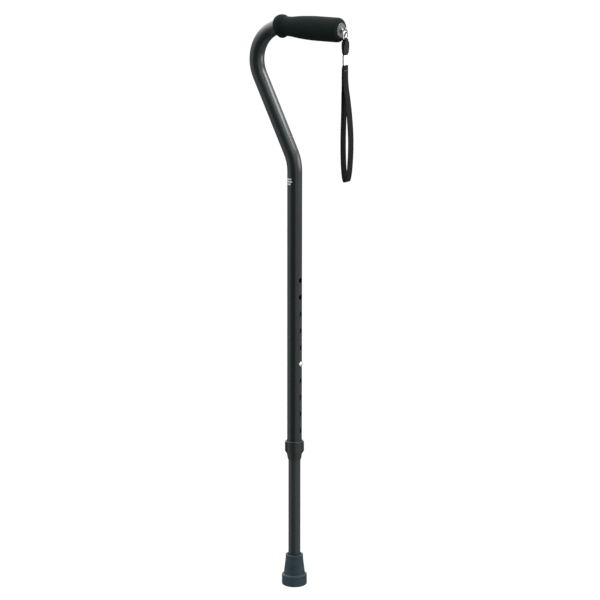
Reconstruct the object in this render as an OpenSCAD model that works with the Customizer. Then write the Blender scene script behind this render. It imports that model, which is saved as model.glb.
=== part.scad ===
// Offset-handle walking cane, height adjustable, with a wrist strap.
// The shaft stands on the Z axis, the tip rests on z = 0, and the handle points along +X.

/* [Shaft] */
// Outer diameter of the upper tube
upper_d = 22; // [20:0.5:24]
// Outer diameter of the lower tube
lower_d = 18; // [17:0.1:18]
// Wall of both tubes
wall = 1.2; // [1:0.1:1.4]
// Height of the upper tube's bottom end
upper_end_z = 210; // [200:1:215]
// Height of the lower tube's top end
lower_top_z = 433; // [425:1:440]
// Height of the handle's axis
handle_z = 844; // [830:1:860]
// Centre-line radius of the bend under the handle
neck_bend_r = 51; // [46:1:56]
// Centre-line radius of the bend at the shaft
shaft_bend_r = 61; // [55:1:67]
// Slant of the tube between the two bends, in degrees from vertical
slant = 27; // [22:1:32]
// Length of the straight stretch between the two bends
slant_len = 122; // [110:1:130]
// Where the handle end of the tube stops
tube_end_x = 79; // [70:1:90]

/* [Height adjustment] */
// Number of height holes
hole_count = 10; // [6:1:10]
// Distance from one height hole to the next
hole_pitch = 25.4; // [20:0.1:25.4]
// Height of the lowest hole
hole_z0 = 243; // [240:1:250]
// Diameter of the height holes
hole_d = 7.6; // [7.4:0.1:8]
// Diameter of the snap button
button_d = 7.2; // [6:0.1:7.2]
// Hole that the button stands in, counted from the lowest, which is 0
button_hole = 4; // [3:1:5]
// How far the button stands out of the upper tube
button_proud = 2.2; // [1.5:0.1:3]

/* [Locking collar] */
// Height of the nut's top rim
nut_top_z = 226; // [224:1:228]
// Outer diameter of the nut's body
nut_d = 25.2; // [25:0.1:27]
// Diameter over the nut's two wings
wing_d = 28.6; // [27:0.1:31]
// Width of one wing
wing_w = 12; // [8:0.5:14]
// Where the wings point when the nut is tight, in degrees from +X
wing_angle = 35; // [0:5:90]
// Number of slots between the collet's fingers
finger_slots = 8; // [6:1:8]

/* [Grip] */
// Diameter of the foam grip at the palm
palm_d = 35.4; // [33:0.2:38]
// Diameter of the grip at its neck
neck_d = 28.5; // [27:0.2:30]
// Diameter of the bead at the bend end
bead_d = 34.4; // [32:0.2:36]
// Where the grip's free end stops
grip_end_x = 81; // [75:1:90]
// Radius of the grip's rounded free end
grip_round = 7; // [4:0.5:9]

/* [Tip] */
// Height of the rubber tip
tip_h = 48; // [44:1:52]
// Diameter of the tip's flange
tip_d = 37.8; // [36:0.2:41]
// Height of the tip's flange
flange_h = 16.6; // [12:0.2:18]
// Diameter of the tip at its mouth
tip_top_d = 26.3; // [25:0.1:28]
// Thickness of rubber under the washer
sole_h = 8; // [6:0.5:10]

/* [Wrist strap] */
// Width of the webbing
web_w = 13; // [10:0.1:13]
// Thickness of the webbing
web_t = 1.4; // [1.2:0.1:1.4]
// Distance from the handle's end face to the eye's centre
eye_reach = 6.8; // [6.5:0.1:8]
// Centre-line radius of the ring
ring_r = 6.1; // [6:0.1:7]
// Diameter of the ring's wire
ring_wire_d = 1.9; // [1.6:0.1:1.9]
// Height of the ferrule's bottom edge
ferrule_z = 795.5; // [794:0.5:796]
// Height of the ferrule
ferrule_h = 13.5; // [12:0.5:13.5]

/* [Hidden] */
$fn = 96;
over = 0.5; // how far a cutter runs past a face

upper_r = upper_d / 2;
upper_bore_r = upper_r - wall;
lower_r = lower_d / 2;
lower_bore_r = lower_r - wall;
run_gap = 0.06; // radial clearance of a sliding fit
seat_gap = 0.03; // radial clearance of a fixed fit
lap = 0.1; // how far the straight stretches of the upper tube run into its bends
lap_step = 0.01; // how much thicker the bends are, so that the laps are inside them

// bends: the shaft bend starts on the Z axis and leans to -X, the neck bend turns over to +X
neck_turn = 90 + slant;
neck_z = handle_z - neck_bend_r;
shaft_bend_z = neck_z - neck_bend_r * sin(slant) - slant_len * cos(slant) - shaft_bend_r * sin(slant);
slant_x = -shaft_bend_r * (1 - cos(slant));
slant_z = shaft_bend_z + shaft_bend_r * sin(slant);
neck_x = slant_x - slant_len * sin(slant) + neck_bend_r * cos(slant);

button_z = hole_z0 + button_hole * hole_pitch;
button_r = button_d / 2;
button_end_x = upper_r + button_proud;
button_dome_r = 6;
leaf_t = 0.8;
leaf_w = 6;
leaf_x = 5.8; // outer face of the spring's button leg
head_t = 0.6; // thickness of the button's head, inside the lower tube
head_r = 4.3;

tip_seat_z = sole_h + 1.5; // the washer is 1.5 thick

plug_face_x = grip_end_x + 0.5;
eye_x = grip_end_x + eye_reach;
eye_r = 3.1;
eye_wire_r = 0.9;
ring_wire_r = ring_wire_d / 2;
ring_gap = 0.15; // between the ring and the eye that it hangs in
ring_top_z = handle_z - eye_r + eye_wire_r + ring_gap + ring_wire_r;
ring_z = ring_top_z - ring_r;
ring_low_z = ring_z - ring_r;

ferrule_top_z = ferrule_z + ferrule_h;
ferrule_mid_z = ferrule_z + ferrule_h / 2;
ferrule_wall = 0.4;
ferrule_in_w = 11.6;
ferrule_in_t = 3;
crimp_w = ferrule_in_w - ferrule_in_t + 0.6; // width of the webbing inside the ferrule

// Half of the strap's route: [half the gap between its legs' middles, height, lean of the loop towards +X], from
// the ferrule to the bottom. The leaning loop hangs off the hanging axis as soft webbing does.
strap_half = [[0.75, 802.2, 0], [0.75, 792, 0], [0.8, 782, 0], [0.95, 773, 0], [1.5, 762, 0.3], [2.8, 749, 1],
              [4.1, 733, 2.1], [5.2, 717, 2.9], [6.2, 700, 3.4], [6.6, 684, 3.6], [6.4, 668, 3.6],
              [5.8, 655, 3.5], [4.9, 643, 3.4], [3.7, 634.5, 3.3], [2, 628.5, 3.2]];
strap_low = [3.2, 627];
strap_route = concat([for (p = strap_half) [p[2] + p[0], p[1]]], [strap_low],
                     [for (i = [len(strap_half) - 1:-1:0]) [strap_half[i][2] - strap_half[i][0], strap_half[i][1]]]);

// Half of the tab's route, from the ferrule to the side of the fold that hangs on the ring.
tab_fold_r = 1.9 + web_t / 2;
tab_half = [[0.75, 802.4], [0.75, 809], [1.3, 815], [1.9, 821], [2.4, 826]];
tab_route = concat(tab_half,
                   [for (a = [0:20:180]) [tab_fold_r * cos(a), ring_low_z + tab_fold_r * sin(a)]],
                   [for (i = [len(tab_half) - 1:-1:0]) [-tab_half[i].x, tab_half[i].y]]);

// Points of an arc about (cx, cz), from angle a to angle b.
function arc(cx, cz, r, a, b, n = 8) =
    [for (i = [0:n]) [cx + r * cos(a + (b - a) * i / n), cz + r * sin(a + (b - a) * i / n)]];

function unit(v) = v / norm(v);

// Direction of a route at its point i, and the point pushed sideways by d.
function way(route, i) =
    unit(route[min(i + 1, len(route) - 1)] - route[max(i - 1, 0)]);
function beside(route, i, d) = route[i] + d * [way(route, i).y, -way(route, i).x];

// Outline of a band of thickness t along a route.
function band(route, t) = concat(
    [for (i = [0:len(route) - 1]) beside(route, i, t / 2)],
    [for (i = [len(route) - 1:-1:0]) beside(route, i, -t / 2)]);

module ring_section(r_out, r_in) {
    difference() {
        circle(r = r_out);
        circle(r = r_in);
    }
}

module pipe(r_out, r_in, length) {
    linear_extrude(length) ring_section(r_out, r_in);
}

// A bent pipe in the XZ plane, about the origin, that starts on +X and turns towards +Z.
module bend(r_out, r_in, bend_r, turn) {
    rotate([90, 0, 0]) rotate_extrude(angle = turn) translate([bend_r, 0]) ring_section(r_out, r_in);
}

module rod_bend(r, bend_r, turn) {
    rotate([90, 0, 0]) rotate_extrude(angle = turn) translate([bend_r, 0]) circle(r = r);
}

module along_x(x, z) {
    translate([x, 0, z]) rotate([0, 90, 0]) children();
}

// A cylinder on the X axis at a height, from x0 to x1.
module x_rod(r, x0, x1, z) {
    along_x(x0, z) cylinder(r = r, h = x1 - x0);
}

// Turns an outline of [x, radius] points about the handle's axis.
module turned_on_handle(outline) {
    translate([0, 0, handle_z]) rotate([0, 90, 0]) rotate_extrude() polygon([for (p = outline) [p.y, p.x]]);
}

// Turns an outline of [radius, z] points about the shaft.
module turned(outline) {
    rotate_extrude() polygon(outline);
}

module upper_tube() color([0.13, 0.14, 0.15]) {
    difference() {
        translate([0, 0, upper_end_z]) pipe(upper_r, upper_bore_r, shaft_bend_z - upper_end_z + lap);
        for (i = [0:hole_count - 1])
            x_rod(hole_d / 2, upper_bore_r / 2, upper_r + over, hole_z0 + i * hole_pitch);
    }
    translate([-shaft_bend_r, 0, shaft_bend_z]) bend(upper_r + lap_step, upper_bore_r - lap_step, shaft_bend_r, slant);
    translate([slant_x, 0, slant_z]) rotate([0, -slant, 0]) translate([0, 0, -lap])
        pipe(upper_r, upper_bore_r, slant_len + 2 * lap);
    translate([neck_x, 0, neck_z]) rotate([0, -90, 0])
        bend(upper_r + lap_step, upper_bore_r - lap_step, neck_bend_r, neck_turn);
    along_x(neck_x - lap, handle_z) pipe(upper_r, upper_bore_r, tube_end_x - neck_x + lap);
}

module lower_tube() color([0.15, 0.16, 0.18]) {
    difference() {
        translate([0, 0, tip_seat_z]) pipe(lower_r, lower_bore_r, lower_top_z - tip_seat_z);
        x_rod(button_r + 0.1, lower_bore_r / 2, lower_r + over, button_z);
    }
}

// Rides on the lower tube's top end and keeps it central in the upper tube.
module guide_bush() color([0.1, 0.1, 0.1]) {
    flange_t = 3;
    skirt = 6;
    plug_len = 12;
    bore_r = lower_bore_r - 1.4;
    outer_r = upper_bore_r - run_gap;
    turned([[bore_r, lower_top_z - plug_len], [lower_bore_r - seat_gap, lower_top_z - plug_len],
            [lower_bore_r - seat_gap, lower_top_z], [lower_r + seat_gap, lower_top_z],
            [lower_r + seat_gap, lower_top_z - skirt], [outer_r, lower_top_z - skirt],
            [outer_r, lower_top_z + flange_t - 1], [outer_r - 1, lower_top_z + flange_t],
            [bore_r, lower_top_z + flange_t]]);
}

// A V of spring steel: the button leg on +X, the back leg on -X, joined by a round bend below.
module snap_spring() color([0.7, 0.7, 0.68]) {
    leg_top = 9;
    leg_kink = -7;
    leg_foot = -30;
    foot_r = 3;
    in_r = foot_r - leaf_t;
    leg = [[leaf_x, leg_kink], [leaf_x, leg_top], [leaf_x - leaf_t, leg_top], [leaf_x - leaf_t, leg_kink]];
    translate([0, leaf_w / 2, button_z]) rotate([90, 0, 0]) linear_extrude(leaf_w)
        polygon(concat(arc(0, leg_foot, foot_r, 180, 360), leg, arc(0, leg_foot, in_r, 360, 180),
                       [for (i = [3:-1:0]) [-leg[i].x, leg[i].y]]));
}

module snap_button() color([0.85, 0.82, 0.76]) {
    shoulder_x = button_end_x - 1.2;
    along_x(0, button_z) {
        translate([0, 0, leaf_x]) cylinder(r = head_r, h = head_t);
        translate([0, 0, leaf_x + head_t]) cylinder(r = button_r, h = shoulder_x - leaf_x - head_t);
        translate([0, 0, shoulder_x]) intersection() {
            cylinder(r = button_r, h = button_end_x - shoulder_x);
            translate([0, 0, button_end_x - shoulder_x - button_dome_r]) sphere(r = button_dome_r);
        }
    }
}

collet_bore_r = lower_r + run_gap;
collet_base_z = upper_end_z - 1.8;
thread_r = upper_r + 0.75;
nut_foot_z = collet_base_z - 11.2;
finger_end_z = nut_foot_z + 2;
finger_r = 9.5;

// Fixed to the upper tube's end, which stands in its groove. The fingers below grip the lower tube.
module collet_bush() color([0.09, 0.09, 0.1]) {
    liner_top = upper_end_z + 20;
    thread_top = upper_end_z + 12;
    thread_root = thread_r - 0.3;
    thread_pitch = 2;
    difference() {
        union() {
            turned([[collet_bore_r, finger_end_z], [finger_r - 0.2, finger_end_z],
                    [finger_r, finger_end_z + 1], [finger_r, collet_base_z - 8], [10.2, collet_base_z],
                    [thread_root, collet_base_z], [thread_root, thread_top],
                    [upper_r + seat_gap, thread_top], [upper_r + seat_gap, upper_end_z],
                    [upper_bore_r - seat_gap, upper_end_z], [upper_bore_r - seat_gap, liner_top],
                    [collet_bore_r, liner_top]]);
            for (z = [collet_base_z + 1:thread_pitch:thread_top - 1])
                turned([[thread_root - 0.2, z - 0.8], [thread_root, z - 0.8], [thread_r, z - 0.3],
                        [thread_r, z + 0.3], [thread_root, z + 0.8], [thread_root - 0.2, z + 0.8]]);
        }
        for (i = [0:finger_slots - 1]) rotate([0, 0, (i + 0.5) * 360 / finger_slots])
            translate([collet_bore_r / 2, -0.5, finger_end_z - over])
                cube([upper_r, 1, collet_base_z - 1.5 - finger_end_z + over]);
    }
}

// Screws up the bush's thread. Its cone presses the fingers in.
module lock_nut() color([0.1, 0.1, 0.11]) {
    body_r = nut_d / 2;
    bore_r = thread_r + 0.08;
    foot_z = nut_foot_z;
    foot_bore_r = lower_r + 0.15;
    cone_z = collet_base_z - 0.3;
    wing_r = wing_d / 2;
    wing_root = body_r - 4;
    wing_z = foot_z + 14;
    wing_top = nut_top_z - 1.5;
    wing_round = 2.4;
    wing_plan_round = 3;
    difference() {
        union() {
            turned(concat(
                [[9, foot_z], [9.7, foot_z], [10.5, foot_z + 2.7], [11, foot_z + 6], [11.4, foot_z + 9],
                 [body_r, foot_z + 12]],
                arc(body_r - 0.8, nut_top_z - 0.8, 0.8, 0, 90), [[9, nut_top_z]]));
            for (side = [0, 180]) rotate([0, 0, wing_angle + side]) intersection() {
                translate([0, wing_w / 2, 0]) rotate([90, 0, 0]) linear_extrude(wing_w)
                    polygon(concat([[wing_root, wing_z - 4], [wing_r - 2.6, wing_z - 3.4], [wing_r, wing_z]],
                                   arc(wing_r - wing_round, wing_top - wing_round, wing_round, 0, 90),
                                   [[wing_root, wing_top]]));
                translate([0, 0, foot_z]) linear_extrude(nut_top_z - foot_z) {
                    translate([0, -wing_w / 2]) square([wing_r - wing_plan_round, wing_w]);
                    translate([0, wing_plan_round - wing_w / 2]) square([wing_r, wing_w - 2 * wing_plan_round]);
                    for (y = [-1, 1])
                        translate([wing_r - wing_plan_round, y * (wing_w / 2 - wing_plan_round)])
                            circle(r = wing_plan_round);
                }
            }
        }
        turned([[0, foot_z - over], [foot_bore_r, foot_z - over], [foot_bore_r, foot_z + 1.2],
                [9.8, foot_z + 1.8], [9.85, foot_z + 3.2], [10.5, cone_z], [bore_r, cone_z],
                [bore_r, nut_top_z - 0.5], [bore_r + 0.4, nut_top_z + over], [0, nut_top_z + over]]);
    }
}

module rubber_tip() color([0.2, 0.25, 0.28]) {
    top_r = tip_top_d / 2;
    foot_r = tip_d / 2;
    waist_r = 15.9;
    mouth_r = lower_r + 1.6;
    groove_d = 1.2;
    difference() {
        turned(concat(
            [[0, 0], [foot_r - 2.6, 0]], arc(foot_r - 2.6, 2.6, 2.6, -90, 0, 6),
            arc(foot_r - 1, flange_h - 1, 1, 0, 90, 4), arc(waist_r + 1.6, flange_h + 1.6, 1.6, 270, 180, 4),
            [[15.3, flange_h + 8], [14.5, flange_h + 14], [13.7, flange_h + 20.5]],
            [[top_r, tip_h - 6]], arc(top_r - 1.2, tip_h - 1.2, 1.2, 0, 90, 4), [[0, tip_h]]));
        translate([0, 0, sole_h]) cylinder(r = lower_r, h = tip_h);
        translate([0, 0, tip_h - 2.5]) cylinder(r1 = lower_r, r2 = mouth_r, h = 2.5 + 0.01);
        for (r = [6, 10, 14]) translate([0, 0, -over]) pipe(r + 2, r, groove_d + over);
    }
}

module tip_washer() color([0.75, 0.75, 0.76])
    translate([0, 0, sole_h]) pipe(lower_r - 0.05, 3, tip_seat_z - sole_h);

module foam_grip() color([0.07, 0.08, 0.08]) {
    bead_x = -22.4;
    bead_round = 9;
    bead_lean = asin((neck_x - bead_x) / neck_bend_r);
    bead_low = neck_bend_r * (1 - cos(bead_lean));
    palm_r = palm_d / 2;
    neck_r = neck_d / 2;
    difference() {
        union() {
            turned_on_handle(concat(
                [[-20, 0], [-20, neck_r], [-8, neck_r], [-3, neck_r + 0.4], [3, 15.3], [10, 16.2], [17, 16.9],
                 [24, 17.35], [34, palm_r - 0.1], [45, palm_r]],
                arc(grip_end_x - grip_round, palm_r - grip_round, grip_round, 90, 0),
                [[grip_end_x, 0]]));
            translate([bead_x, 0, handle_z - bead_low]) rotate([0, 90 - bead_lean, 0]) {
                rotate_extrude() intersection() {
                    translate([bead_d / 2 - bead_round, 0]) circle(r = bead_round);
                    translate([0, -bead_round]) square([bead_d / 2, 2 * bead_round]);
                }
            }
        }
        x_rod(upper_r + seat_gap, neck_x, grip_end_x + over, handle_z);
        translate([neck_x, 0, neck_z]) rotate([0, -90, 0])
            rod_bend(upper_r + seat_gap, neck_bend_r, 40);
    }
}

module end_plug() color([0.42, 0.43, 0.45]) {
    stem_r = upper_bore_r - seat_gap;
    turned_on_handle([[tube_end_x - 16, 5], [tube_end_x - 16, stem_r - 0.8], [tube_end_x - 14, stem_r],
                      [tube_end_x, stem_r], [tube_end_x, upper_r], [plug_face_x - 0.8, upper_r],
                      [plug_face_x - 0.2, upper_r - 0.7], [plug_face_x, upper_r - 2], [plug_face_x, 5],
                      [plug_face_x + 0.9, 4.2], [plug_face_x + 0.9, 1.5], [tube_end_x - 8, 1.5],
                      [tube_end_x - 8, 5]]);
}

module screw_eye() color([0.8, 0.8, 0.8]) {
    collar_x = plug_face_x + 0.9;
    x_rod(1.5, tube_end_x - 10, eye_x - eye_r, handle_z);
    x_rod(2.5, collar_x, collar_x + 1, handle_z);
    translate([eye_x, 0, handle_z]) rotate([90, 0, 0]) rotate_extrude()
        translate([eye_r, 0]) circle(r = eye_wire_r);
}

module strap_ring() color([0.82, 0.82, 0.82])
    translate([eye_x, 0, ring_z]) rotate([0, 90, 0]) rotate_extrude()
        translate([ring_r, 0]) circle(r = ring_wire_r);

// A band of webbing along a route in the XZ plane, cut to its width by an outline of [half width, z] points.
module webbing(route, edge) {
    intersection() {
        translate([eye_x, web_w / 2, 0]) rotate([90, 0, 0]) linear_extrude(web_w) polygon(band(route, web_t));
        translate([eye_x - web_w, 0, 0]) rotate([90, 0, 90]) linear_extrude(2 * web_w)
            polygon(concat(edge, [for (i = [len(edge) - 1:-1:0]) [-edge[i].x, edge[i].y]]));
    }
}

module strap_tab() color([0.09, 0.09, 0.09]) {
    fold_w = 5.4;
    webbing(tab_route, [[fold_w / 2, ring_low_z + 5], [fold_w / 2, ring_low_z], [web_w / 2 - 1, ring_low_z - 4],
                        [web_w / 2, 821], [web_w / 2, 814], [crimp_w / 2, ferrule_top_z],
                        [crimp_w / 2, ferrule_mid_z + 0.1]]);
}

module strap_ferrule() color([0.85, 0.85, 0.86])
    translate([eye_x, 0, ferrule_z]) linear_extrude(ferrule_h) difference() {
        crimp_outline(ferrule_wall);
        crimp_outline(0);
    }

// The flat oval that the ferrule is crimped to, grown by g.
module crimp_outline(g) {
    end_r = ferrule_in_t / 2;
    side = ferrule_in_w / 2 - end_r;
    square([2 * (end_r + g), 2 * side], center = true);
    for (s = [-1, 1]) translate([0, s * side]) circle(r = end_r + g);
}

module wrist_strap() color([0.2, 0.2, 0.2])
    webbing(strap_route, [[crimp_w / 2, ferrule_mid_z], [crimp_w / 2, ferrule_z],
                          [web_w / 2 - 0.5, ferrule_z - 2.5], [web_w / 2, ferrule_z - 7],
                          [web_w / 2, strap_low.y - 5]]);

upper_tube();
lower_tube();
guide_bush();
snap_spring();
snap_button();
collet_bush();
lock_nut();
rubber_tip();
tip_washer();
foam_grip();
end_plug();
screw_eye();
strap_ring();
strap_tab();
strap_ferrule();
wrist_strap();
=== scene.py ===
"""The looks of an offset-handle walking cane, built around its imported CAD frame. Lengths are in metres."""

from math import asin, cos, pi, radians, sin, sqrt

import bmesh
import bpy
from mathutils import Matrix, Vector


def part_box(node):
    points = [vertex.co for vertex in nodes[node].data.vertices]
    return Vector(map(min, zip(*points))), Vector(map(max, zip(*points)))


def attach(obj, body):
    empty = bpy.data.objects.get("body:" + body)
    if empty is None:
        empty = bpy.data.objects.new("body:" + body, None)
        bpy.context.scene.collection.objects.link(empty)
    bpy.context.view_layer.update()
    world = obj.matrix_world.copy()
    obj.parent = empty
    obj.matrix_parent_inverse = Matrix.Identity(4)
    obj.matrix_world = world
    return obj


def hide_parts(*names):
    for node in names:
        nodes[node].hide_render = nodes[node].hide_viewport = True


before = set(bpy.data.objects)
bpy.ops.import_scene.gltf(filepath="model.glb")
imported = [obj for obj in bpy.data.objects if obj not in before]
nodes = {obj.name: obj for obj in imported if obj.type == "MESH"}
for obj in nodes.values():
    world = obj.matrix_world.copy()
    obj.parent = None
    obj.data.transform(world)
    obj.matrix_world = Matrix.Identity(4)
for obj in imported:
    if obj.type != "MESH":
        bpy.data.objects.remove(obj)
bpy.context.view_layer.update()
MM = 0.001

# ---------------------------------------------------------------- places, from the frame
_, tube_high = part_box("upper_tube")
_, grip_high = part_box("foam_grip")
plug_low, plug_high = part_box("end_plug")
ring_low, ring_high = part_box("strap_ring")
ferrule_low, ferrule_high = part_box("strap_ferrule")

TUBE_R = tube_high.y
HANDLE_Z = (plug_low.z + plug_high.z) / 2
HANG_X = (ring_low.x + ring_high.x) / 2
RING_WIRE_R = (ring_high.x - ring_low.x) / 2
RING_LOW_Z = ring_low.z + RING_WIRE_R
FERRULE_TOP_Z = ferrule_high.z
FERRULE_Z = ferrule_low.z

# ---------------------------------------------------------------- camera
CAMERA_AZIMUTH = radians(35)
CAMERA_AWAY = 3.461
CAMERA_HEIGHT = 1.210
CAMERA_PITCH = radians(12.53)
CAMERA_YAW = radians(0.114)
CAMERA_ROLL = radians(-0.08)
TOWARDS_CAMERA = Vector((sin(CAMERA_AZIMUTH), -cos(CAMERA_AZIMUTH), 0))
CAMERA_RIGHT = Vector((cos(CAMERA_AZIMUTH), sin(CAMERA_AZIMUTH), 0))


def make_camera():
    data = bpy.data.cameras.new("camera")
    data.lens = 144
    data.sensor_width = 36
    camera = bpy.data.objects.new("camera", data)
    camera.location = TOWARDS_CAMERA * CAMERA_AWAY + Vector((0, 0, CAMERA_HEIGHT))
    camera.rotation_euler = (pi / 2 - CAMERA_PITCH, CAMERA_ROLL, CAMERA_AZIMUTH - CAMERA_YAW)
    bpy.context.scene.collection.objects.link(camera)
    bpy.context.scene.camera = camera


make_camera()

# ---------------------------------------------------------------- mesh helpers


def piece_from(name, points, faces, material, smooth=True):
    mesh = bpy.data.meshes.new(name)
    mesh.from_pydata([tuple(p) for p in points], [], faces)
    if smooth:
        mesh.polygons.foreach_set("use_smooth", [True] * len(mesh.polygons))
    mesh.materials.append(material)
    mesh.update()
    piece = bpy.data.objects.new(name, mesh)
    bpy.context.scene.collection.objects.link(piece)
    return piece


def bridged(rings, closed_ends=True):
    """Faces between rings of equal length, numbered one ring after another, with a cap on each end."""
    n, count = len(rings[0]), len(rings)
    faces = [(i * n + k, i * n + (k + 1) % n, (i + 1) * n + (k + 1) % n, (i + 1) * n + k)
             for i in range(count - 1) for k in range(n)]
    if closed_ends:
        faces.append(tuple(range(n - 1, -1, -1)))
        faces.append(tuple((count - 1) * n + k for k in range(n)))
    return faces


def facing_out(piece):
    mesh = bmesh.new()
    mesh.from_mesh(piece.data)
    bmesh.ops.recalc_face_normals(mesh, faces=mesh.faces)
    mesh.to_mesh(piece.data)
    mesh.free()
    return piece


def smoothstep(low, high, x):
    t = min(1.0, max(0.0, (x - low) / (high - low)))
    return t * t * (3 - 2 * t)


def fine_route(points, step):
    """Points about step apart on a smooth curve through the given ones."""
    ends = [points[0] * 2 - points[1], *points, points[-1] * 2 - points[-2]]
    dense = []
    for a, b, c, d in zip(ends, ends[1:], ends[2:], ends[3:]):
        count = 24
        for i in range(count):
            t = i / count
            dense.append(((b * 2) + (c - a) * t + (a * 2 - b * 5 + c * 4 - d) * t ** 2
                          + (b * 3 - a - c * 3 + d) * t ** 3) / 2)
    dense.append(points[-1])
    total = sum((q - p).length for p, q in zip(dense, dense[1:]))
    count = round(total / step)
    out, walked, goal = [dense[0]], 0.0, total / count
    for p, q in zip(dense, dense[1:]):
        length = (q - p).length
        while walked + length >= goal and len(out) < count:
            out.append(p.lerp(q, (goal - walked) / length))
            goal += total / count
        walked += length
    out.append(dense[-1])
    return out, total


# ---------------------------------------------------------------- shader helpers


def new_material(name):
    material = bpy.data.materials.new(name)
    material.use_nodes = True
    tree = material.node_tree
    return material, tree, tree.nodes["Principled BSDF"]


def node(tree, kind, inputs=None, **settings):
    """Adds a shader node. inputs gives a socket, by name or number, a value or another socket to link."""
    made = tree.nodes.new("ShaderNode" + kind)
    for key, value in settings.items():
        setattr(made, key, value)
    for key, value in (inputs or {}).items():
        if isinstance(value, bpy.types.NodeSocket):
            tree.links.new(value, made.inputs[key])
        else:
            made.inputs[key].default_value = value
    return made


def math(tree, operation, *values):
    return node(tree, "Math", dict(enumerate(values)), operation=operation).outputs[0]


def place(tree, scale=(1, 1, 1)):
    """The point on the object, scaled."""
    coordinates = node(tree, "TexCoord").outputs["Object"]
    return node(tree, "Mapping", {"Vector": coordinates, "Scale": scale}).outputs[0]


def noise(tree, at, scale, detail=2.0, rough=0.5):
    inputs = {"Vector": at, "Scale": scale, "Detail": detail, "Roughness": rough}
    return node(tree, "TexNoise", inputs).outputs[0]


def between(tree, amount, low, high, to_low=0.0, to_high=1.0):
    return node(tree, "MapRange", {0: amount, 1: low, 2: high, 3: to_low, 4: to_high}).outputs[0]


def blend_colour(tree, amount, dark, light):
    made = node(tree, "Mix", {"Factor": amount}, data_type="RGBA")
    made.inputs[6].default_value = (*dark, 1)
    made.inputs[7].default_value = (*light, 1)
    return made.outputs[2]


def bump(tree, shader, height, distance, strength=1.0):
    made = node(tree, "Bump", {"Height": height, "Distance": distance, "Strength": strength})
    tree.links.new(made.outputs[0], shader.inputs["Normal"])


# ---------------------------------------------------------------- materials


def satin_black(name, dark, light, roughness):
    """Black anodised tube: a faint drawn grain along the shaft, and a patchy sheen."""
    material, tree, shader = new_material(name)
    patches = noise(tree, place(tree), 14, detail=4)
    tree.links.new(blend_colour(tree, patches, dark, light), shader.inputs["Base Color"])
    grain = noise(tree, place(tree, (1, 1, 0.02)), 1800, detail=3)
    smudge = between(tree, patches, 0.3, 0.7, roughness - 0.03, roughness + 0.04)
    sheen = math(tree, "ADD", smudge, math(tree, "MULTIPLY", grain, 0.04))
    tree.links.new(sheen, shader.inputs["Roughness"])
    shader.inputs["Specular IOR Level"].default_value = 0.5
    bump(tree, shader, grain, 0.01 * MM)
    return material


def moulded_plastic(name, dark, light, roughness, grain_size=0.5 * MM, grain_depth=0.03 * MM):
    material, tree, shader = new_material(name)
    at = place(tree)
    patches = noise(tree, at, 60, detail=3)
    tree.links.new(blend_colour(tree, patches, dark, light), shader.inputs["Base Color"])
    grain = noise(tree, at, 1 / grain_size, detail=2)
    sheen = between(tree, grain, 0.3, 0.7, roughness - 0.05, roughness + 0.05)
    tree.links.new(sheen, shader.inputs["Roughness"])
    bump(tree, shader, grain, grain_depth)
    return material


def metal(name, colour, roughness, scratch_depth=0.004 * MM):
    material, tree, shader = new_material(name)
    at = place(tree)
    smudge = noise(tree, at, 300, detail=3)
    tone = blend_colour(tree, smudge, [c * 0.93 for c in colour], colour)
    tree.links.new(tone, shader.inputs["Base Color"])
    sheen = between(tree, smudge, 0.35, 0.7, roughness * 0.8, roughness * 1.3)
    tree.links.new(sheen, shader.inputs["Roughness"])
    shader.inputs["Metallic"].default_value = 1.0
    bump(tree, shader, noise(tree, place(tree, (1, 1, 0.15)), 4000), scratch_depth)
    return material


def rubber_material():
    material, tree, shader = new_material("slate_rubber")
    at = place(tree)
    dust = noise(tree, at, 45, detail=6, rough=0.65)
    tone = blend_colour(tree, between(tree, dust, 0.42, 0.62), (0.009, 0.020, 0.027), (0.018, 0.033, 0.041))
    tree.links.new(tone, shader.inputs["Base Color"])
    grain = noise(tree, at, 1400, detail=3)
    tree.links.new(between(tree, dust, 0.3, 0.7, 0.52, 0.66), shader.inputs["Roughness"])
    shader.inputs["Specular IOR Level"].default_value = 0.22
    bump(tree, shader, math(tree, "ADD", grain, math(tree, "MULTIPLY", dust, 2.0)), 0.05 * MM)
    return material


def foam_material():
    """Closed-cell foam: fine pits, close together, and a dull soft sheen. Its colour is darkened in the pits
    as painted shade.
    """
    material, tree, shader = new_material("grip_foam_black")
    at = place(tree)
    cells = node(tree, "TexVoronoi", {"Vector": at, "Scale": 1300.0, "Randomness": 1.0}).outputs["Distance"]
    pits = between(tree, cells, 0.0, 0.55)
    blotches = noise(tree, at, 55, detail=5, rough=0.6)
    # Painted shade: the colour darkens in the pits, times a random blotchy tone.
    tone = math(tree, "MULTIPLY", pits, between(tree, blotches, 0.3, 0.7, 0.7, 1.0))
    tree.links.new(blend_colour(tree, tone, (0.0014, 0.0034, 0.0032), (0.0036, 0.0066, 0.0062)),
                   shader.inputs["Base Color"])
    shader.inputs["Roughness"].default_value = 0.9
    shader.inputs["Specular IOR Level"].default_value = 0.1
    bump(tree, shader, math(tree, "ADD", pits, blotches), 0.12 * MM)
    return material


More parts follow.
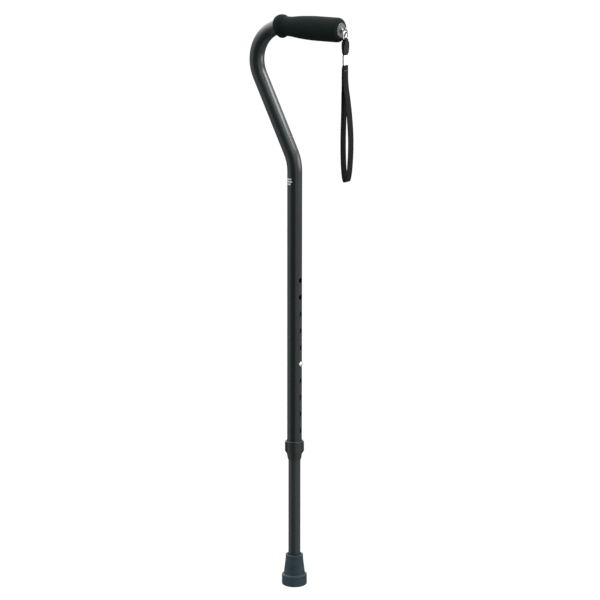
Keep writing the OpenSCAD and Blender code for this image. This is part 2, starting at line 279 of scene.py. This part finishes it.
def webbing_material(name, dark, light, pitch=1.3 * MM, column=1.6 * MM):
    """Herringbone webbing, its colour darker in the grooves between threads as painted shade. Its UV map
    holds metres along the webbing and across it.
    """
    material, tree, shader = new_material(name)
    weave = node(tree, "UVMap", uv_map="weave").outputs[0]
    uv = node(tree, "SeparateXYZ", {0: weave}).outputs
    zigzag = math(tree, "PINGPONG", math(tree, "DIVIDE", uv[1], column), 1.0)
    phase = math(tree, "ADD", math(tree, "DIVIDE", uv[0], pitch), math(tree, "MULTIPLY", zigzag, 1.2))
    wave = math(tree, "SINE", math(tree, "MULTIPLY", phase, 2 * pi))
    thread = math(tree, "ADD", math(tree, "MULTIPLY", wave, 0.5), 0.5)
    furrow = math(tree, "MULTIPLY", math(tree, "ABSOLUTE", math(tree, "SUBTRACT", zigzag, 0.5)), 2.0)
    height = math(tree, "MULTIPLY", thread, math(tree, "SUBTRACT", 1.0, math(tree, "POWER", furrow, 6.0)))
    along_fibres = node(tree, "Mapping", {"Vector": weave, "Scale": (1, 6, 1)}).outputs[0]
    fibres = noise(tree, along_fibres, 1500, detail=3)
    fade = noise(tree, place(tree), 60, detail=3)
    # Painted shade: the colour follows the weave's height, darker in its grooves, with a random tone from
    # the fibres and the fading.
    tone = math(tree, "MULTIPLY", height, between(tree, fibres, 0.2, 0.8, 0.5, 1.0))
    tone = math(tree, "MULTIPLY", tone, between(tree, fade, 0.3, 0.7, 0.75, 1.0))
    tree.links.new(blend_colour(tree, tone, dark, light), shader.inputs["Base Color"])
    shader.inputs["Roughness"].default_value = 0.75
    shader.inputs["Specular IOR Level"].default_value = 0.08
    bump(tree, shader, math(tree, "ADD", height, math(tree, "MULTIPLY", fibres, 0.3)), 0.12 * MM)
    return material


upper_black = satin_black("satin_black_upper", (0.0045, 0.0088, 0.0088), (0.0070, 0.0118, 0.0118), 0.24)
lower_black = satin_black("satin_black_lower", (0.008, 0.013, 0.0135), (0.012, 0.017, 0.0175), 0.36)
collar_black = moulded_plastic("collar_plastic_black", (0.005, 0.0075, 0.0075), (0.009, 0.0125, 0.0125),
                               0.36)
bush_black = moulded_plastic("bush_plastic_black", (0.008, 0.010, 0.010), (0.015, 0.018, 0.018), 0.5)
plug_grey = moulded_plastic("plug_plastic_grey", (0.035, 0.038, 0.042), (0.055, 0.060, 0.066), 0.36)
nickel = metal("nickel_plate", (0.44, 0.435, 0.425), 0.17)
button_nickel = metal("button_nickel", (0.93, 0.88, 0.80), 0.20)
spring_steel = metal("spring_steel_grey", (0.56, 0.55, 0.53), 0.35)
ferrule_steel = metal("ferrule_bright", (0.70, 0.70, 0.705), 0.30)
rubber = rubber_material()
foam = foam_material()
# Each webbing runs from its dark colour, the painted shade in the grooves, to its light colour on the thread
# tops.
strap_weave = webbing_material("strap_webbing_black", (0.0022, 0.0022, 0.0024), (0.013, 0.013, 0.0135))
tab_weave = webbing_material("tab_webbing_black", (0.002, 0.002, 0.002), (0.050, 0.050, 0.051),
                             pitch=2.2 * MM)
thread_grey = moulded_plastic("stitch_thread", (0.09, 0.09, 0.092), (0.16, 0.16, 0.165), 0.6)
mark_ink = moulded_plastic("pale_ink", (0.30, 0.30, 0.33), (0.42, 0.42, 0.46), 0.5)

# ---------------------------------------------------------------- webbing
WEB_W = 13 * MM
WEB_T = 1.4 * MM
CRIMP_W = 9.2 * MM
FOLD_W = 5.4 * MM
RING_STEP = 0.33 * MM
RIB_PITCH = 1.3 * MM
RIB_H = 0.05 * MM
# How far in from each edge the webbing thins, and how deep its middle is bowed below the ferrule
SELVEDGE = 0.45 * MM
CUP_DEPTH = 1.3 * MM

# Half of the wrist strap's route in mm: (half the gap between its legs' middles, height, lean towards +X).
STRAP_HALF = [(0.75, 802.2, 0), (0.75, 792, 0), (0.8, 782, 0), (0.95, 773, 0), (1.5, 762, 0.3),
              (2.8, 749, 1), (4.1, 733, 2.1), (5.2, 717, 2.9), (6.2, 700, 3.4), (6.6, 684, 3.6),
              (6.4, 668, 3.6), (5.8, 655, 3.5), (4.9, 643, 3.4), (3.7, 634.5, 3.3), (2, 628.5, 3.2)]
STRAP_LOW = (3.2, 627)

# Half of the tab's route in the same way, from the ferrule to the side of the fold that hangs on the ring.
TAB_HALF = [(0.75, 802.4, 0), (0.75, 809, 0), (1.3, 815, 0), (1.9, 821, 0), (2.4, 826, 0)]
TAB_FOLD_R = 1.9 * MM + WEB_T / 2

# Widths of the webbing, from high to low: (height, width)
STRAP_WIDTHS = [(FERRULE_TOP_Z, CRIMP_W), (FERRULE_Z, CRIMP_W), (FERRULE_Z - 2.5 * MM, WEB_W - 1 * MM),
                (FERRULE_Z - 7 * MM, WEB_W)]
TAB_WIDTHS = [(RING_LOW_Z + 5 * MM, FOLD_W), (RING_LOW_Z, FOLD_W), (RING_LOW_Z - 4 * MM, WEB_W - 2 * MM),
              (0.821, WEB_W), (0.814, WEB_W), (FERRULE_TOP_Z, CRIMP_W)]


def hung(x, z):
    """A point that far from the hanging axis, in mm, at that height, in mm."""
    return Vector((HANG_X + x * MM, 0, z * MM))


def mirrored(half, middle):
    """The whole route: the half on the +X side, the middle, and the half on the other side."""
    there = [hung(lean + x, z) for x, z, lean in half]
    back = [hung(lean - x, z) for x, z, lean in reversed(half)]
    return there + middle + back


def width_at(outline, z):
    if z > outline[0][0]:
        return outline[0][1]
    for (z0, w0), (z1, w1) in zip(outline, outline[1:]):
        if z >= z1:
            return w1 + (w0 - w1) * smoothstep(z1, z0, z)
    return outline[-1][1]


def webbing_section(half):
    """Places across the webbing, each with its share of the thickness, which drops at the woven edges."""
    flat = [((half - SELVEDGE) * (k / 5 - 1), 1.0) for k in range(11)]
    edge = [(half - 0.3 * SELVEDGE, 0.85), (half, 0.45)]
    return [(-y, share) for y, share in reversed(edge)] + flat + edge


def ribbon(name, route, outline, material, cup):
    """A closed band of webbing with ribs and blunt edges. cup(z) is how far its middle is bowed to +X."""
    points, length = fine_route(route, RING_STEP)
    rings, lengths, along = [], [], 0.0
    for i, p in enumerate(points):
        before, after = points[max(i - 1, 0)], points[min(i + 1, len(points) - 1)]
        if i:
            along += (p - points[i - 1]).length
        lengths.append(along)
        way = (after - before).normalized()
        out = Vector((way.z, 0, -way.x))
        half = width_at(outline, p.z) / 2
        thick = WEB_T / 2 - RIB_H * (0.5 - 0.5 * cos(2 * pi * along / RIB_PITCH))
        top, bottom = [], []
        for y, share in webbing_section(half):
            middle = p + Vector((cup(p.z) * (0.5 - (y / half) ** 2), y, 0))
            top.append(middle + out * thick * share)
            bottom.append(middle - out * thick * share)
        sides = [y / half for y, _ in webbing_section(half)]
        rings.append(top + bottom[::-1])
    piece = piece_from(name, [q for ring in rings for q in ring], bridged(rings), material)
    # The last ring's places across serve all the rings.
    sides += sides[::-1]
    weave = piece.data.uv_layers.new(name="weave")
    for loop in piece.data.loops:
        ring, k = divmod(loop.vertex_index, len(sides))
        weave.data[loop.index].uv = (lengths[ring], (sides[k] + 1) / 2 * WEB_W)
    return facing_out(piece), points, length


def strap_cup(z):
    """The strap is bowed just below the ferrule, and flat again where its legs part."""
    return CUP_DEPTH * smoothstep(0.7955, 0.790, z) * smoothstep(0.745, 0.785, z)


def no_cup(_):
    return 0.0


strap_route = mirrored(STRAP_HALF, [hung(*STRAP_LOW)])
wrist_strap, strap_line, strap_length = ribbon("wrist_strap_webbing", strap_route, STRAP_WIDTHS,
                                               strap_weave, strap_cup)
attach(wrist_strap, "strap")
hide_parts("wrist_strap")

tab_fold = [Vector((HANG_X + TAB_FOLD_R * cos(radians(a)), 0, RING_LOW_Z + TAB_FOLD_R * sin(radians(a))))
            for a in range(0, 181, 20)]
tab_route = mirrored(TAB_HALF, tab_fold)
strap_tab, _, _ = ribbon("strap_tab_webbing", tab_route, TAB_WIDTHS, tab_weave, no_cup)
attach(strap_tab, "strap")
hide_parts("strap_tab")


def stitch_row(z, count, pitch, thread_r):
    """Stitches across both outer faces of the sewn strap, at a height where its legs lie together."""
    leg_x = 0.79 * MM
    points, faces = [], []
    for side in (1, -1):
        for i in range(count):
            rings = []
            for j in range(9):
                t = j / 8
                y = (i - count / 2 + 0.1 + 0.8 * t) * pitch
                bow = strap_cup(z) * (0.5 - (y / (WEB_W / 2)) ** 2)
                x = HANG_X + bow + side * (leg_x + WEB_T / 2 + thread_r * (1.1 * sin(pi * t) - 0.5))
                rings.append([Vector((x + thread_r * cos(2 * pi * k / 8), y,
                                      z + thread_r * sin(2 * pi * k / 8))) for k in range(8)])
            faces += [tuple(k + len(points) for k in face) for face in bridged(rings)]
            points += [p for ring in rings for p in ring]
    return facing_out(piece_from("strap_stitches", points, faces, thread_grey))


STITCH_Z = 0.7875
stitches = stitch_row(STITCH_Z, count=5, pitch=2.2 * MM, thread_r=0.2 * MM)
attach(stitches, "strap")

# ---------------------------------------------------------------- foam grip
NECK_BEND_R = 51 * MM
NECK_X = -16.6 * MM
PALM_R = grip_high.y
NECK_R = 14.25 * MM
BEAD_S = -5.8 * MM
BEAD_ROUND = 9 * MM
BEAD_R = 17.2 * MM
SWELL_START_X = -6 * MM
SWELL_LENGTH = 51 * MM
GRIP_END_ROUND = 7 * MM
GRIP_RIPPLE = 0.07 * MM
GRIP_RIPPLE_PITCH = 1.4 * MM
GRIP_BORE_R = TUBE_R + 0.03 * MM


def on_handle(s):
    """The tube's centre line and its direction, s past the start of the handle's straight part."""
    if s >= 0:
        return Vector((NECK_X + s, 0, HANDLE_Z)), Vector((1, 0, 0))
    turn = -s / NECK_BEND_R
    return (Vector((NECK_X - NECK_BEND_R * sin(turn), 0, HANDLE_Z - NECK_BEND_R * (1 - cos(turn)))),
            Vector((cos(turn), 0, sin(turn))))


def grip_radius(s):
    """The bead at the bend and the palm part that swells from its neck, run together by a soft hollow."""
    x = NECK_X + s
    swell = min(1.0, max(0.0, (x - SWELL_START_X) / SWELL_LENGTH))
    body = NECK_R + (PALM_R - NECK_R) * (1 - (1 - swell) ** 2.2)
    end = grip_high.x - GRIP_END_ROUND
    if x > end:
        turned = asin(min(1.0, (x - end) / GRIP_END_ROUND))
        ripple = GRIP_RIPPLE * sin(2 * pi * turned * GRIP_END_ROUND / GRIP_RIPPLE_PITCH)
        body = PALM_R - GRIP_END_ROUND + GRIP_END_ROUND * cos(turned) + ripple * sin(2 * turned)
    beside = abs(s - BEAD_S) / BEAD_ROUND
    bead = BEAD_R - BEAD_ROUND + BEAD_ROUND * sqrt(max(0.0, 1 - beside ** 2))
    if s < BEAD_S:
        return bead
    gap = body - bead
    hollow = 1.1 * MM
    soft = max(0.0, hollow - abs(gap)) / hollow
    return max(body, bead) + soft * soft * hollow / 4


def make_grip():
    length = grip_high.x - NECK_X
    start = BEAD_S - BEAD_ROUND * sqrt(1 - ((GRIP_BORE_R - BEAD_R + BEAD_ROUND) / BEAD_ROUND) ** 2)
    # The bead's outline is followed by its angle, so that its steep side gets as many rings as its top.
    outline = [BEAD_S - BEAD_ROUND * cos(a * pi / 2 / 26) for a in range(27)]
    outline = [start] + [s for s in outline if s > start]
    outline += [BEAD_S + (length - GRIP_END_ROUND - BEAD_S) * i / 150 for i in range(1, 151)]
    outline += [length - GRIP_END_ROUND * (1 - sin(a * pi / 2 / 72)) for a in range(1, 73)]
    around = 128
    rings = []

    def ring(s, r):
        middle, way = on_handle(s)
        up = Vector((-way.z, 0, way.x))
        return [middle + up * (r * cos(2 * pi * k / around)) + Vector((0, r * sin(2 * pi * k / around), 0))
                for k in range(around)]

    rings.append(ring(start, GRIP_BORE_R))
    rings += [ring(s, grip_radius(s)) for s in outline[1:]]
    rings.append(ring(length, GRIP_BORE_R + 0.1 * MM))
    rings += [ring(length * (1 - i / 40) + start * i / 40, GRIP_BORE_R) for i in range(40)]
    # The last ring is joined to the first one, so the sleeve closes round its bore.
    n = around
    count = len(rings)
    faces = []
    for i in range(count):
        this, following = i * n, (i + 1) % count * n
        faces += [(this + k, this + (k + 1) % n, following + (k + 1) % n, following + k) for k in range(n)]
    return facing_out(piece_from("grip_sleeve", [p for r in rings for p in r], faces, foam))


grip = make_grip()
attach(grip, "upper")
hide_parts("foam_grip")

# ---------------------------------------------------------------- printed mark
MARK_Z = 0.619
MARK_AZIMUTH = radians(-108)
# Each bar's height above the mark's middle, and half its span round the tube in degrees
MARK_BARS = [(3.6 * MM, 26), (0, 32), (-3.6 * MM, 20)]
MARK_BAR_H = 2.1 * MM


def make_mark():
    """Three plain pale bars printed on the side of the upper tube."""
    under, over = TUBE_R - 0.1 * MM, TUBE_R + 0.03 * MM
    points, faces = [], []
    for rise, half_span in MARK_BARS:
        low = MARK_Z + rise - MARK_BAR_H / 2
        high = low + MARK_BAR_H
        rings = []
        for k in range(25):
            turn = MARK_AZIMUTH + radians(half_span) * (k / 12 - 1)
            out = Vector((cos(turn), sin(turn), 0))
            rings.append([out * r + Vector((0, 0, z))
                          for r, z in ((under, low), (over, low), (over, high), (under, high))])
        faces += [tuple(k + len(points) for k in face) for face in bridged(rings)]
        points += [p for ring in rings for p in ring]
    return facing_out(piece_from("side_mark", points, faces, mark_ink, smooth=False))


mark = make_mark()
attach(mark, "upper")

# ---------------------------------------------------------------- finishes of the CAD nodes
FINISHES = {
    "upper_tube": upper_black, "lower_tube": lower_black, "guide_bush": bush_black,
    "collet_bush": bush_black, "lock_nut": collar_black, "snap_spring": spring_steel,
    "snap_button": button_nickel, "rubber_tip": rubber, "tip_washer": spring_steel, "end_plug": plug_grey,
    "screw_eye": nickel, "strap_ring": nickel, "strap_ferrule": ferrule_steel,
}
for name, material in FINISHES.items():
    for material_slot in nodes[name].material_slots:
        material_slot.material = material

# ---------------------------------------------------------------- studio
# How bright the room's right side, left side and ceiling are, and all the rest of it
PANEL_RIGHT = 1.0
PANEL_LEFT = 1.0
OVERHEAD = 1.7
UNLIT = 0.09
# Height of the place on the shaft's axis that the softboxes face
LIT_Z = 0.75


def make_studio_light():
    """A room that is dark in front and glows on its right, on its far left and from above."""
    world = bpy.data.worlds.new("studio")
    bpy.context.scene.world = world
    world.use_nodes = True
    tree = world.node_tree
    ray = node(tree, "TexCoord").outputs["Generated"]
    front = node(tree, "VectorMath", {0: ray, 1: TOWARDS_CAMERA}, operation="DOT_PRODUCT").outputs["Value"]
    right = node(tree, "VectorMath", {0: ray, 1: CAMERA_RIGHT}, operation="DOT_PRODUCT").outputs["Value"]
    height = node(tree, "SeparateXYZ", {0: ray}).outputs[2]
    turn = math(tree, "ARCTAN2", right, front)

    def soft(amount, low, high, to):
        return node(tree, "MapRange", {0: amount, 1: low, 2: high, 3: 0.0, 4: to},
                    interpolation_type="SMOOTHSTEP").outputs[0]

    # The room dims behind the object by as much as a glossy tube reflects more towards its edges.
    facing = math(tree, "COSINE", math(tree, "MULTIPLY", turn, 0.5))
    grazing = math(tree, "POWER", math(tree, "SUBTRACT", 1.0, facing), 5.0)
    fade = math(tree, "DIVIDE", 0.04, math(tree, "MULTIPLY_ADD", grazing, 0.96, 0.04))
    fade = math(tree, "MAXIMUM", fade, soft(height, 0.0, 0.35, 1.0))
    right_panel = soft(turn, radians(5), radians(19), PANEL_RIGHT)
    left_panel = soft(turn, radians(-54), radians(-76), PANEL_LEFT)
    left_panel = math(tree, "MULTIPLY", left_panel, math(tree, "ADD", soft(height, 0.0, 0.4, 1.2), 1.0))
    walls = math(tree, "MULTIPLY", math(tree, "MAXIMUM", right_panel, left_panel), fade)
    walls = math(tree, "MULTIPLY", walls, between(tree, height, -0.4, 0.3, 0.5, 1.5))
    glow = math(tree, "ADD", walls, soft(height, 0.2, 0.9, OVERHEAD))
    glow = math(tree, "ADD", glow, UNLIT)
    tree.links.new(glow, tree.nodes["Background"].inputs["Strength"])
    tree.nodes["Background"].inputs["Color"].default_value = (1, 1, 1, 1)


def plain_stage_material(name, colour, glow):
    material, tree, shader = new_material(name)
    shader.inputs["Base Color"].default_value = (*colour, 1)
    shader.inputs["Roughness"].default_value = 0.9
    shader.inputs["Specular IOR Level"].default_value = 0.0
    shader.inputs["Emission Color"].default_value = (1, 1, 1, 1)
    shader.inputs["Emission Strength"].default_value = glow
    return material


def circle_at(radius, z, count=64):
    return [(radius * cos(2 * pi * k / count), radius * sin(2 * pi * k / count), z) for k in range(count)]


def make_stage():
    """A round floor under a dome."""
    reach = 14.0
    # The floor lies low enough for the tip to show when the cane is drawn out to its longest.
    floor_z = -102.5 * MM
    rim = circle_at(reach, floor_z)
    floor = piece_from("floor", rim, [tuple(range(len(rim)))],
                       plain_stage_material("floor_white", (0.15, 0.15, 0.15), 0.60))
    floor.visible_glossy = False
    levels = [level * pi / 4 for level in (0, 0.2, 0.45, 0.75, 1.1, 1.6)]
    rings = [circle_at(reach * cos(level), reach * sin(level) + floor_z - 0.01) for level in levels]
    top = tuple((len(rings) - 1) * len(rim) + k for k in range(len(rim)))
    sky = piece_from("backdrop", [p for ring in rings for p in ring],
                     bridged(rings, closed_ends=False) + [top],
                     plain_stage_material("backdrop_white", (0, 0, 0), 1.0))
    for ray_kind in ("visible_glossy", "visible_diffuse", "visible_shadow", "visible_transmission"):
        setattr(sky, ray_kind, False)


def make_softbox(name, turn, elevation, away, size, power):
    """A soft light turned to the right from the camera's side and raised, both in degrees."""
    data = bpy.data.lights.new(name, "AREA")
    data.shape = "RECTANGLE"
    data.size, data.size_y = size
    data.energy = power
    light = bpy.data.objects.new(name, data)
    side = TOWARDS_CAMERA * cos(radians(turn)) + CAMERA_RIGHT * sin(radians(turn))
    back = side * cos(radians(elevation)) + Vector((0, 0, sin(radians(elevation))))
    light.location = Vector((0, 0, LIT_Z)) + back * away
    light.rotation_mode = "QUATERNION"
    light.rotation_quaternion = back.to_track_quat("Z", "Y")
    light.visible_camera = False
    bpy.context.scene.collection.objects.link(light)
    return light


make_studio_light()
make_stage()
for softbox in (make_softbox("side_light", turn=80, elevation=43, away=0.62, size=(0.5, 0.34), power=5.5),
                make_softbox("low_card", turn=84, elevation=-4, away=0.5, size=(0.5, 0.2), power=1.3)):
    softbox.visible_diffuse = False
bpy.context.scene.view_settings.view_transform = "Standard"
